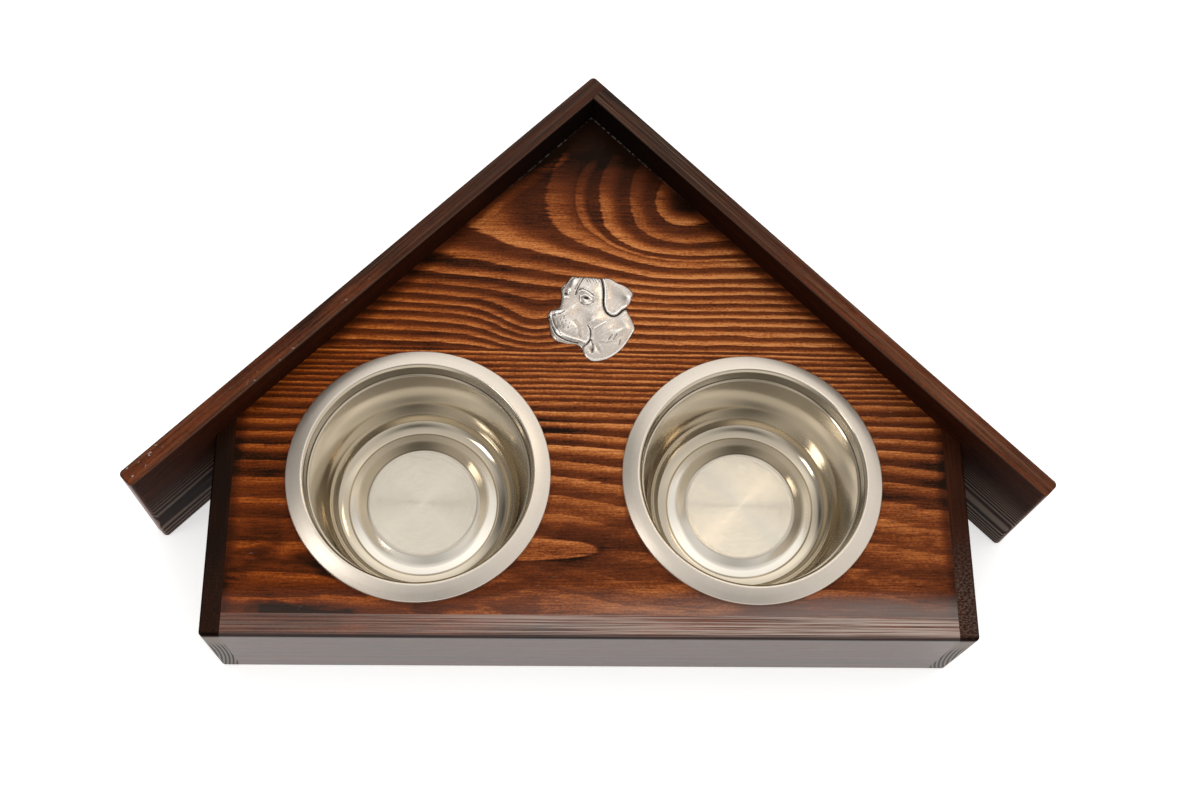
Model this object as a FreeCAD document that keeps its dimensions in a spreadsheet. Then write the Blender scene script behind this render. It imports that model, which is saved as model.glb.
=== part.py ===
import FreeCAD, Part
import math
import os
import Sketcher
from FreeCAD import Placement, Rotation, Vector

# Wooden feeding stand in the outline of a house, with two lift-out steel bowls. All sizes in mm.
# X runs left to right, Y from the front edge to the ridge, Z up; the origin is under the middle.

doc = FreeCAD.newDocument("FeedingStand")
sheet = doc.addObject("Spreadsheet::Sheet", "Sizes")

sizes = [
    # Stand
    ("body_width", 459, "across the side boards"),
    ("stand_depth", 370, "front face to the sharp corner of the ridge"),
    ("panel_height", 80, "floor to the top of the panel"),
    ("roof_height", 104, "floor to the top of the roof boards"),
    ("roof_length", 395, "ridge corner to eave along a roof board"),
    ("board", 12, "thickness of the side and roof boards"),
    ("front_board", 14, "thickness of the front board"),
    ("panel_thick", 12, "thickness of the panel boards"),
    ("panel_split", 184, "front face to the glue line between the panel boards"),
    ("batten", 12, "square section of the battens under the panel"),
    ("edge_round", 1.5, "rounding along the board edges"),
    ("corner_round", 3, "rounding of upright corners"),
    # Fastenings
    ("dowel_radius", 3, "wooden dowels"),
    ("dowel_in_face", 8, "dowel depth in the board it enters by the face"),
    ("dowel_in_end", 22, "dowel depth in the board it enters by the end"),
    ("dowel_low", 22, "height of the lower dowels"),
    ("dowel_down", 26, "depth of the upper dowels below the board's top"),
    ("screw_radius", 1.6, "screw shank"),
    ("screw_head", 3.4, "screw head radius"),
    ("screw_length", 20, "screw length with its head"),
    ("screw_inset", 30, "end screws from the ends of their batten"),
    ("play", 0.1, "clearance of dowels and screws in their holes"),
    # Bowls
    ("left_bowl_in", 2.85, "left bowl towards the middle, from the centre of its half of the panel"),
    ("right_bowl_in", 11.35, "right bowl towards the middle, from the centre of its half"),
    ("bowl_from_front", 100.2, "front face to the bowl centres"),
    ("rim_radius", 80, "outer edge of the bowl rim"),
    ("neck_radius", 68.4, "inside of the neck under the rim"),
    ("bowl_depth", 59, "panel top to the trough in the bowl base"),
    ("sheet_steel", 0.8, "steel thickness"),
    ("rim_rise", 6.2, "crest of the rim above the panel"),
    ("hole_play", 1.8, "gap between the neck and the hole in the panel"),
    ("rest_gap", 0.05, "gap under the rim where it rests"),
    # Badge
    ("badge_x", 1.2, "badge centre to the left of the middle"),
    ("badge_from_front", 205, "front face to the badge centre"),
    ("badge_scale", 1, "size factor of the badge"),
    ("pin_radius", 1.2, "badge pins"),
    ("pin_length", 6, "badge pins below the plate"),
]
derived = [
    ("half_width", "=body_width / 2"),
    ("inner_half", "=half_width - board"),
    ("front_y", "=-(stand_depth - corner_round * (sqrt(2) - 1)) / 2"),
    ("ridge_y", "=front_y + stand_depth"),
    ("ridge_in", "=ridge_y - board * sqrt(2)"),
    ("eave_out", "=ridge_in - half_width"),
    ("eave_in", "=ridge_in - inner_half"),
    ("front_in", "=front_y + front_board"),
    ("front_mid", "=front_y + front_board / 2"),
    ("board_mid", "=board / 2"),
    ("batten_mid", "=batten / 2"),
    ("split_y", "=front_y + panel_split"),
    ("panel_under", "=panel_height - panel_thick"),
    ("batten_under", "=panel_under - batten"),
    ("hole_radius", "=neck_radius + sheet_steel + hole_play"),
    ("left_bowl_x", "=inner_half / 2 - left_bowl_in"),
    ("right_bowl_x", "=inner_half / 2 - right_bowl_in"),
    ("bowl_y", "=front_y + bowl_from_front"),
    ("badge_y", "=front_y + badge_from_front"),
    ("roof_batten_end", "=board + inner_half * sqrt(2) - 2"),
    ("roof_batten_mid", "=roof_batten_end / 2"),
    ("screw_bite", "=screw_length - batten + 1"),
    ("head_height", "=screw_head - screw_radius"),
]
row = 1
for alias, number, note in sizes:
    sheet.set("A%d" % row, alias)
    sheet.set("B%d" % row, str(number))
    sheet.set("C%d" % row, note)
    sheet.setAlias("B%d" % row, alias)
    row += 1
for alias, formula in derived:
    sheet.set("A%d" % row, alias)
    sheet.set("B%d" % row, formula)
    sheet.setAlias("B%d" % row, alias)
    row += 1
doc.recompute()


def size(text):
    # A sum of named sizes and plain numbers, as its value and as a formula on the sheet
    value = 0.0
    formula = "0"
    sign = 1
    for word in text.split():
        if word in ("+", "-"):
            sign = -1 if word == "-" else 1
            continue
        if word.startswith("-"):
            sign = -1
            word = word[1:]
        plain = word[0].isdigit()
        number = float(word) if plain else float(sheet.get(word))
        value += sign * number
        formula += " %s %s" % ("-" if sign < 0 else "+", word if plain else "Sizes." + word)
        sign = 1
    return value, formula


def bind(thing, path, text):
    thing.setExpression(path, size(text)[1])


def bindBase(thing, base):
    for axis, text in zip("xyz", base):
        bind(thing, "Placement.Base." + axis, text)


def newBody(label):
    body = doc.addObject("PartDesign::Body", label)
    body.Label = label
    return body


def newSketch(body, name, role):
    sketch = body.newObject("Sketcher::SketchObject", name)
    plane = [f for f in body.Origin.OriginFeatures if f.Role == role][0]
    sketch.AttachmentSupport = [(plane, "")]
    sketch.MapMode = "FlatFace"
    return sketch


def fixPoint(sketch, edge, end, across, up):
    # Holds one end of a line or arc at named distances from the origin
    for kind, axis, text in (("DistanceX", -2, across), ("DistanceY", -1, up)):
        value, formula = size(text)
        if abs(value) < 1e-9:
            sketch.addConstraint(Sketcher.Constraint("PointOnObject", edge, end, axis))
        else:
            index = sketch.addConstraint(Sketcher.Constraint(kind, -1, 1, edge, end, value))
            sketch.setExpression("Constraints[%d]" % index, formula)


def outline(sketch, corners):
    # Closed straight-sided outline with every corner held by named sizes
    points = [Vector(size(x)[0], size(y)[0], 0) for x, y in corners]
    count = len(points)
    for i in range(count):
        sketch.addGeometry(Part.LineSegment(points[i], points[(i + 1) % count]))
    for i in range(count):
        sketch.addConstraint(Sketcher.Constraint("Coincident", i, 2, (i + 1) % count, 1))
    for i in range(count):
        fixPoint(sketch, i, 1, corners[i][0], corners[i][1])


def board(label, corners, height, lift="0"):
    # A board: its plan outline raised to its height
    body = newBody(label)
    sketch = newSketch(body, label + "_plan", "XY_Plane")
    outline(sketch, corners)
    bind(sketch, "AttachmentOffset.Base.z", lift)
    pad = body.newObject("PartDesign::Pad", label + "_pad")
    pad.Profile = sketch
    bind(pad, "Length", height)
    doc.recompute()
    return body


def rounded(body, name, radius, wanted):
    # Rounds those edges of the body for which wanted(edge box) holds
    base = body.Tip
    names = ["Edge%d" % (i + 1) for i, edge in enumerate(base.Shape.Edges) if wanted(edge.BoundBox)]
    fillet = body.newObject("PartDesign::Fillet", name)
    fillet.Base = (base, names)
    bind(fillet, "Radius", radius)
    doc.recompute()


def near(a, b):
    return abs(a - b) < 0.01


def upright(box, x, y):
    return box.ZLength > 1 and near(box.XMin, x) and near(box.XMax, x) and near(box.YMin, y)


def level(box):
    return near(box.ZLength, 0)


def bored(body, name, radius, length, turn, base):
    # Round hole from base; turn lays the upright cylinder into its direction
    hole = body.newObject("PartDesign::SubtractiveCylinder", name)
    hole.Placement = Placement(Vector(), turn)
    bind(hole, "Radius", radius)
    bind(hole, "Height", length)
    bindBase(hole, base)
    doc.recompute()


def rod(name, radius, length, turn, base):
    piece = doc.addObject("Part::Cylinder", name)
    piece.Placement = Placement(Vector(), turn)
    bind(piece, "Radius", radius)
    bind(piece, "Height", length)
    bindBase(piece, base)
    return piece


def group(label, pieces):
    compound = doc.addObject("Part::Compound", label)
    compound.Label = label
    compound.Links = pieces
    return compound


up = Rotation()
right = Rotation(Vector(0, 1, 0), 90)
left = Rotation(Vector(0, 1, 0), -90)
forward = Rotation(Vector(1, 0, 0), 90)

# Each roof board is drawn along its own X from the ridge corner, then turned into place
leftRoof = Placement(Vector(), Rotation(Vector(0, 0, 1), 225))
rightRoof = Placement(Vector(), Rotation(Vector(0, 0, 1), -45))
print("sizes ready")

# Front board, standing between the side boards
front = board("front_board", [
    ("-inner_half", "front_y"), ("inner_half", "front_y"),
    ("inner_half", "front_in"), ("-inner_half", "front_in")], "panel_height")
faceY = size("front_y")[0]
rounded(front, "front_edges", "edge_round", lambda b: near(b.YMax, faceY) and b.XLength > 1)
cornerHeights = ("dowel_low", "panel_height - dowel_down")
for n, z in enumerate(cornerHeights):
    depth = "dowel_in_end + play"
    bored(front, "front_hole_left_%d" % n, "dowel_radius + play", depth, right, ("-inner_half", "front_mid", z))
    bored(front, "front_hole_right_%d" % n, "dowel_radius + play", depth, left, ("inner_half", "front_mid", z))

# Side boards, cut at the back to lie against the roof boards
for label, sign, turn in (("left_side_board", "-", left), ("right_side_board", "", right)):
    outer = sign + "half_width"
    inner = sign + "inner_half"
    side = board(label, [
        (outer, "front_y"), (inner, "front_y"), (inner, "eave_in"), (outer, "eave_out")], "panel_height")
    outX = size(outer)[0]
    rounded(side, label + "_corner", "corner_round", lambda b: upright(b, outX, faceY))
    rounded(side, label + "_edges", "edge_round", lambda b: level(b) and (
        (near(b.XMin, outX) and near(b.XMax, outX)) or near(b.YMax, faceY)))
    for n, z in enumerate(cornerHeights):
        bored(side, label + "_hole_%d" % n, "dowel_radius + play", "dowel_in_face + play", turn,
              (inner, "front_mid", z))

# Roof boards: the left one runs through at the ridge and covers the end of the right one
roofL = board("left_roof_board", [
    ("0", "0"), ("roof_length", "0"), ("roof_length", "board"), ("0", "board")], "roof_height")
roofR = board("right_roof_board", [
    ("board", "-board"), ("roof_length", "-board"), ("roof_length", "0"), ("board", "0")], "roof_height")
thick = size("board")[0]
endX = size("roof_length")[0]
rounded(roofL, "left_roof_corners", "corner_round", lambda b: upright(b, endX, 0) or upright(b, endX, thick)
        or upright(b, 0, 0))
rounded(roofL, "left_roof_edges", "edge_round", level)
rounded(roofR, "right_roof_corners", "corner_round", lambda b: upright(b, endX, 0) or upright(b, endX, -thick))
rounded(roofR, "right_roof_edges", "edge_round", lambda b: level(b) and not near(b.XMax, thick))
# The rounding along the inside stops where the right board meets the left one
for name, z in (("ridge_top", "roof_height - edge_round"), ("ridge_foot", "0")):
    corner = roofL.newObject("PartDesign::AdditiveBox", name)
    bind(corner, "Length", "board - edge_round")
    bind(corner, "Width", "edge_round")
    bind(corner, "Height", "edge_round")
    bindBase(corner, ("edge_round", "board - edge_round", z))
    doc.recompute()
ridgeHeights = ("dowel_down", "roof_height - dowel_down")
for n, z in enumerate(ridgeHeights):
    bored(roofL, "ridge_face_hole_%d" % n, "dowel_radius + play", "dowel_in_face + play", forward,
          ("board_mid", "board", z))
    bored(roofR, "ridge_end_hole_%d" % n, "dowel_radius + play", "dowel_in_end + play", right,
          ("board", "-board_mid", z))
for roof, place in ((roofL, leftRoof), (roofR, rightRoof)):
    roof.Placement = place
    bind(roof, "Placement.Base.y", "ridge_y")

# Panel, glued up from two boards along the split, flush with the front and side boards.
# Each board is the whole panel with the other side of the split cut off, and the holes go through both.
panels = []
for label, offStart in (("panel_front_board", "split_y"), ("panel_rear_board", "split_y - stand_depth")):
    panel = board(label, [
        ("-inner_half", "front_in"), ("inner_half", "front_in"), ("inner_half", "eave_in"),
        ("0", "ridge_in"), ("-inner_half", "eave_in")], "panel_thick", "panel_under")
    off = panel.newObject("PartDesign::SubtractiveBox", label + "_off")
    bind(off, "Length", "body_width")
    bind(off, "Width", "stand_depth")
    bind(off, "Height", "panel_thick")
    bindBase(off, ("-half_width", offStart, "panel_under"))
    for side, x in (("left", "-left_bowl_x"), ("right", "right_bowl_x")):
        bored(panel, "%s_%s_hole" % (label, side), "hole_radius", "panel_thick", up, (x, "bowl_y", "panel_under"))
    panels.append(panel)

# Battens that carry the panel, glued to the boards round it
battens = [board("front_batten", [
    ("-inner_half", "front_in"), ("inner_half", "front_in"),
    ("inner_half", "front_in + batten"), ("-inner_half", "front_in + batten")], "batten", "batten_under")]
for label, out, into in (("left_side_batten", "-inner_half", "batten - inner_half"),
                         ("right_side_batten", "inner_half", "inner_half - batten")):
    battens.append(board(label, [
        (out, "front_in + batten"), (into, "front_in + batten"),
        (into, "eave_in - batten"), (out, "eave_in - batten")], "batten", "batten_under"))
battens.append(board("left_roof_batten", [
    ("board", "board"), ("roof_batten_end", "board"),
    ("roof_batten_end", "board + batten"), ("board", "board + batten")], "batten", "batten_under"))
battens.append(board("right_roof_batten", [
    ("board + batten", "-board - batten"), ("roof_batten_end", "-board - batten"),
    ("roof_batten_end", "-board"), ("board + batten", "-board")], "batten", "batten_under"))
print("boards ready")

# Screws up through the battens into the panel, as plan places in each batten's own frame
alongSide = ("front_in + batten + screw_inset", "eave_in - batten - screw_inset")
alongRoof = ("board + batten + screw_inset", "roof_batten_mid", "roof_batten_end - screw_inset")
straight = ("%(x)s", "%(y)s")
leftTurned = ("((%(y)s) - (%(x)s)) * sqrt(2) / 2", "Sizes.ridge_y - ((%(x)s) + (%(y)s)) * sqrt(2) / 2")
rightTurned = ("((%(x)s) + (%(y)s)) * sqrt(2) / 2", "Sizes.ridge_y + ((%(y)s) - (%(x)s)) * sqrt(2) / 2")
alongFront = ("screw_inset - inner_half", "0", "inner_half - screw_inset")
screwRows = [
    (battens[0], None, straight, [(x, "front_in + batten_mid") for x in alongFront]),
    (battens[1], None, straight, [("batten_mid - inner_half", y) for y in alongSide]),
    (battens[2], None, straight, [("inner_half - batten_mid", y) for y in alongSide]),
    (battens[3], leftRoof, leftTurned, [(x, "board + batten_mid") for x in alongRoof]),
    (battens[4], rightRoof, rightTurned, [(x, "-board - batten_mid") for x in alongRoof]),
]
screws = []
for batten, place, turned, spots in screwRows:
    for n, (x, y) in enumerate(spots):
        mark = "%s_%d" % (batten.Label, n)
        bored(batten, "way_" + mark, "screw_radius + play", "batten", up, (x, y, "batten_under"))
        sink = batten.newObject("PartDesign::SubtractiveCone", "sink_" + mark)
        shank = rod("shank_" + mark, "screw_radius", "screw_length", up, (x, y, "batten_under"))
        head = doc.addObject("Part::Cone", "head_" + mark)
        for cone, gap in ((sink, " + play"), (head, "")):
            bind(cone, "Radius1", "screw_head" + gap)
            bind(cone, "Radius2", "screw_radius" + gap)
            bind(cone, "Height", "head_height")
            bindBase(cone, (x, y, "batten_under"))
        screw = doc.addObject("Part::Fuse", "screw_" + mark)
        screw.Base = shank
        screw.Tool = head
        if place:
            screw.Placement = place
            bind(screw, "Placement.Base.y", "ridge_y")
        for panel in panels:
            pilot = panel.newObject("PartDesign::SubtractiveCylinder", "%s_pilot_%s" % (panel.Label, mark))
            bind(pilot, "Radius", "screw_radius + play")
            bind(pilot, "Height", "screw_bite")
            for axis, formula in zip("xy", turned):
                pilot.setExpression("Placement.Base." + axis, formula % {"x": size(x)[1], "y": size(y)[1]})
            bind(pilot, "Placement.Base.z", "panel_under")
        screws.append(screw)
        doc.recompute()
for batten, place in ((battens[3], leftRoof), (battens[4], rightRoof)):
    batten.Placement = place
    bind(batten, "Placement.Base.y", "ridge_y")
group("panel_screws", screws)

# Dowels of the front corners and of the ridge
length = "dowel_in_face + dowel_in_end"
dowels = []
for n, z in enumerate(cornerHeights):
    dowels.append(rod("dowel_left_%d" % n, "dowel_radius", length, right,
                      ("-inner_half - dowel_in_face", "front_mid", z)))
    dowels.append(rod("dowel_right_%d" % n, "dowel_radius", length, left,
                      ("inner_half + dowel_in_face", "front_mid", z)))
group("corner_dowels", dowels)
dowels = []
for n, z in enumerate(ridgeHeights):
    dowels.append(rod("dowel_ridge_%d" % n, "dowel_radius", length, right,
                      ("board - dowel_in_face", "-board_mid", z)))
ridge = group("ridge_dowels", dowels)
ridge.Placement = rightRoof
bind(ridge, "Placement.Base.y", "ridge_y")
print("fastenings ready")

# Bowl: the upper side of the sheet from the foot of the rim to the middle of the base,
# each step with the radius of its arc and the side its centre lies on (1 left, -1 right)
profile = [
    ("rim_radius", "rest_gap", None),
    ("rim_radius", "rest_gap + 0.6", (1.4, 1)),
    ("rim_radius - 0.9", "rest_gap + 1.8", (45, 1)),
    ("neck_radius + 2.6", "rim_rise - 0.3", (2.2, 1)),
    ("neck_radius + 0.2", "rim_rise - 1.7", None),
    ("neck_radius - 0.9", "-4", None),
    ("neck_radius - 2.1", "-5", (110, -1)),
    ("neck_radius - 7.6", "18 - bowl_depth", (24, -1)),
    ("neck_radius - 19.8", "1.4 - bowl_depth", None),
    ("neck_radius - 21", "0.3 - bowl_depth", (22, -1)),
    ("neck_radius - 33", "4 - bowl_depth", None),
    ("neck_radius - 34.4", "4.6 - bowl_depth", None),
    ("0", "4.6 - bowl_depth", None),
]
sketch = doc.addObject("Sketcher::SketchObject", "bowl_profile")
sketch.Placement = Placement(Vector(), Rotation(Vector(1, 0, 0), 90))
points = [Vector(size(x)[0], size(z)[0], 0) for x, z, arc in profile]
ends = []
for i in range(len(profile) - 1):
    a, b, arc = points[i], points[i + 1], profile[i][2]
    if arc is None:
        sketch.addGeometry(Part.LineSegment(a, b))
        ends.append((1, 2))
        continue
    radius, hand = arc
    along = (b - a).normalize()
    rise = math.sqrt(radius ** 2 - (b - a).Length ** 2 / 4)
    centre = (a + b) / 2 + Vector(-along.y, along.x, 0) * rise * hand
    first, last = (a, b) if hand > 0 else (b, a)
    angles = [math.atan2(p.y - centre.y, p.x - centre.x) for p in (first, last)]
    circle = Part.Circle(centre, Vector(0, 0, 1), radius)
    sketch.addGeometry(Part.ArcOfCircle(circle, angles[0], angles[1]))
    sketch.addConstraint(Sketcher.Constraint("Radius", i, radius))
    ends.append((1, 2) if hand > 0 else (2, 1))
for i in range(len(ends) - 1):
    sketch.addConstraint(Sketcher.Constraint("Coincident", i, ends[i][1], i + 1, ends[i + 1][0]))
for i in range(len(ends)):
    fixPoint(sketch, i, ends[i][0], profile[i][0], profile[i][1])
fixPoint(sketch, len(ends) - 1, ends[-1][1], profile[-1][0], profile[-1][1])
doc.recompute()
section = doc.addObject("Part::Offset2D", "bowl_section")
section.Source = sketch
section.Mode = "Skin"
section.Join = "Arc"
section.Fill = True
bind(section, "Value", "sheet_steel")
doc.recompute()
for label, x in (("left_bowl", "-left_bowl_x"), ("right_bowl", "right_bowl_x")):
    bowl = doc.addObject("Part::Revolution", label)
    bowl.Label = label
    bowl.Source = section
    bowl.Base = Vector()
    bowl.Axis = Vector(0, 0, 1)
    bowl.Angle = 360
    bindBase(bowl, (x, "bowl_y", "panel_height"))
doc.recompute()
print("bowls ready")

# Badge: a dog's head in low relief, cast with two pins that stand in the panel.
# Each form has its outline in plan, its foot and rise above the panel and the lean of its sides.
headOutline = [
    (-10.5, 30.6), (-1.1, 29.2), (8.1, 28.8), (10.8, 29.6), (23.8, 23.5), (27.8, 19.8), (26.5, 13.9),
    (22.6, 8.5), (28.3, -5.6), (25.4, -10.9), (18.8, -20.7), (10.7, -27.4), (1.5, -29.3), (-3.7, -25.9),
    (-6.5, -20.3), (-19.7, -16.2), (-24.9, -13.3), (-26.8, -5.8), (-28, 0.3), (-26.2, 4.8), (-20.6, 6.2),
    (-17.4, 10.7), (-19.4, 19.6), (-15.8, 26.4)]
faceOutline = [
    (-10.2, 30), (5.7, 28.5), (8, 21), (8.5, 5), (4.4, -3.8), (-0.6, -8), (-2.6, -16), (-6.6, -19.2),
    (-19.4, -15.2), (-24, -12.4), (-26, -5), (-27.2, 1), (-25.6, 4.2), (-20, 6), (-16.6, 11), (-18.6, 19),
    (-15.2, 26)]
browOutline = [
    (-8, 27), (3, 25.5), (6.5, 18), (6.5, 7), (1, -1), (-6, 0), (-12, 5), (-14.5, 13), (-13, 22)]
muzzleOutline = [
    (-24.4, 3.6), (-17, 5), (-9.3, 1.4), (-5, -4), (-4.6, -11), (-8.6, -15), (-15, -14.4), (-21, -11),
    (-24.6, -5)]
earOutline = [
    (6.6, 27.8), (10.5, 29), (23.4, 23), (27.2, 19.4), (26, 14), (20.6, 8.6), (16.4, 3.8), (13, 2.4),
    (9.8, 4), (7.9, 9), (8.2, 20)]
noseOutline = [(-27.4, 3.6), (-24.6, 4), (-23, 1), (-24.6, -2.6), (-27, -1.6)]
eyeOutline = [(-8.6, 13.8), (-4, 14.6), (-1.6, 12.4), (-5, 10), (-8.4, 10.4)]
forms = [
    ("head", headOutline, 0, 2, 0),
    ("face", faceOutline, 1.5, 1.5, 35),
    ("brow", browOutline, 2.6, 1.4, 45),
    ("muzzle", muzzleOutline, 2.6, 1.8, 45),
    ("ear", earOutline, 1.5, 3, 30),
    ("nose", noseOutline, 1.5, 2.4, 15),
]


def scaledOutline(sketch, points):
    count = len(points)
    corners = [Vector(x, y, 0) for x, y in points]
    for i in range(count):
        sketch.addGeometry(Part.LineSegment(corners[i], corners[(i + 1) % count]))
    for i in range(count):
        sketch.addConstraint(Sketcher.Constraint("Coincident", i, 2, (i + 1) % count, 1))
    for i in range(count):
        for kind, number in zip(("DistanceX", "DistanceY"), points[i]):
            index = sketch.addConstraint(Sketcher.Constraint(kind, -1, 1, i, 1, number))
            sketch.setExpression("Constraints[%d]" % index, "%g * Sizes.badge_scale" % number)


badge = newBody("dog_badge")
for name, points, foot, rise, lean in forms:
    plan = newSketch(badge, name + "_plan", "XY_Plane")
    scaledOutline(plan, points)
    plan.setExpression("AttachmentOffset.Base.z", "%g * Sizes.badge_scale" % foot)
    pad = badge.newObject("PartDesign::Pad", name + "_form")
    pad.Profile = plan
    pad.TaperAngle = -lean
    pad.setExpression("Length", "%g * Sizes.badge_scale" % rise)
    doc.recompute()
plan = newSketch(badge, "eye_plan", "XY_Plane")
scaledOutline(plan, eyeOutline)
plan.setExpression("AttachmentOffset.Base.z", "5 * Sizes.badge_scale")
eye = badge.newObject("PartDesign::Pocket", "eye")
eye.Profile = plan
eye.setExpression("Length", "1.6 * Sizes.badge_scale")
doc.recompute()
for name, x, y in (("left", -9, 10), ("right", 12, 6)):
    pin = badge.newObject("PartDesign::AdditiveCylinder", "pin_" + name)
    bind(pin, "Radius", "pin_radius")
    bind(pin, "Height", "pin_length + 1")
    pin.setExpression("Placement.Base.x", "%g * Sizes.badge_scale" % x)
    pin.setExpression("Placement.Base.y", "%g * Sizes.badge_scale" % y)
    pin.setExpression("Placement.Base.z", "-Sizes.pin_length")
    for panel in panels:
        hole = panel.newObject("PartDesign::SubtractiveCylinder", "%s_pin_hole_%s" % (panel.Label, name))
        bind(hole, "Radius", "pin_radius + play")
        bind(hole, "Height", "pin_length + 1")
        hole.setExpression("Placement.Base.x", "%g * Sizes.badge_scale - Sizes.badge_x" % x)
        hole.setExpression("Placement.Base.y", "%g * Sizes.badge_scale + Sizes.badge_y" % y)
        bind(hole, "Placement.Base.z", "panel_height - pin_length - 1")
    doc.recompute()
bindBase(badge, ("-badge_x", "badge_y", "panel_height"))
doc.recompute()
print("badge ready")

nodes = ["front_board", "left_side_board", "right_side_board", "left_roof_board", "right_roof_board",
         "panel_front_board", "panel_rear_board", "front_batten", "left_side_batten", "right_side_batten",
         "left_roof_batten", "right_roof_batten", "corner_dowels", "ridge_dowels", "panel_screws",
         "left_bowl", "right_bowl", "dog_badge"]
for thing in doc.Objects:
    if "Invalid" in thing.State or "Error" in thing.State:
        raise RuntimeError("%s is in state %s" % (thing.Label, thing.State))
os.makedirs("parts", exist_ok=True)
for label in nodes:
    thing = doc.getObjectsByLabel(label)[0]
    if thing.Shape.isNull() or not thing.Shape.isValid():
        raise RuntimeError(label + " has no valid shape")
    thing.Shape.exportStep("parts/%s.step" % label)
    box = thing.Shape.BoundBox
    print("%-18s solids %2d  volume %9.0f  x %.1f %.1f  y %.1f %.1f  z %.1f %.1f" % (
        label, len(thing.Shape.Solids), thing.Shape.Volume,
        box.XMin, box.XMax, box.YMin, box.YMax, box.ZMin, box.ZMax))
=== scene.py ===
import bpy
import math
import numpy as np
from mathutils import Matrix, Vector


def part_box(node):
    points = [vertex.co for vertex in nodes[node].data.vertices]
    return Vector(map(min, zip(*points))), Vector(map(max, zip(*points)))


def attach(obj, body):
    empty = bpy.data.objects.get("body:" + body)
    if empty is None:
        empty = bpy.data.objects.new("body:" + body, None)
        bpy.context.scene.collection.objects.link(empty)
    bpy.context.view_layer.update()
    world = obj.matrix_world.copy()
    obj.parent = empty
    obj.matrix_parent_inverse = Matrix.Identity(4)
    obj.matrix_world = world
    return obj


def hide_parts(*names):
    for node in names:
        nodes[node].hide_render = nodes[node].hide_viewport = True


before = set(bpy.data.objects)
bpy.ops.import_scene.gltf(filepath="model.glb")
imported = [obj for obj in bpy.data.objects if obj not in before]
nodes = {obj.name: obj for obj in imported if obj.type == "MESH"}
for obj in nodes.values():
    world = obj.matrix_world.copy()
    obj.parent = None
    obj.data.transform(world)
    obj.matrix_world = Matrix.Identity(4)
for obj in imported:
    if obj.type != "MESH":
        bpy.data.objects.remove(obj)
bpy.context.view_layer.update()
mm = 0.001

# places on the stand that the looks are fitted to, read from the frame
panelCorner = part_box("panel_front_board")[1]
panelTop = panelCorner.z
panelHalf = panelCorner.x
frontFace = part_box("front_board")[0].y
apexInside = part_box("panel_rear_board")[1].y
print("frame loaded:", len(nodes), "nodes")


# camera, from the photograph's perspective
cameraValues = {
    "place": (-0.04601, -0.38697, 0.97875),
    "lens": 46.71,
    "filmWidth": 36,
    "yaw": 8.12,
    "pitch": 68.37,
    "roll": 8.37,
}
bpy.ops.object.select_all(action="DESELECT")
bpy.ops.object.camera_add(location=cameraValues["place"])
camera = bpy.context.object
turn = Matrix.Rotation(math.radians(-cameraValues["yaw"]), 3, "Z")
turn = turn @ Matrix.Rotation(math.radians(90 - cameraValues["pitch"]), 3, "X")
turn = turn @ Matrix.Rotation(math.radians(cameraValues["roll"]), 3, "Z")
camera.rotation_euler = turn.to_euler()
camera.data.sensor_width = cameraValues["filmWidth"]
camera.data.lens = cameraValues["lens"]
bpy.context.scene.camera = camera
bpy.context.scene.view_settings.view_transform = "Standard"


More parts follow.
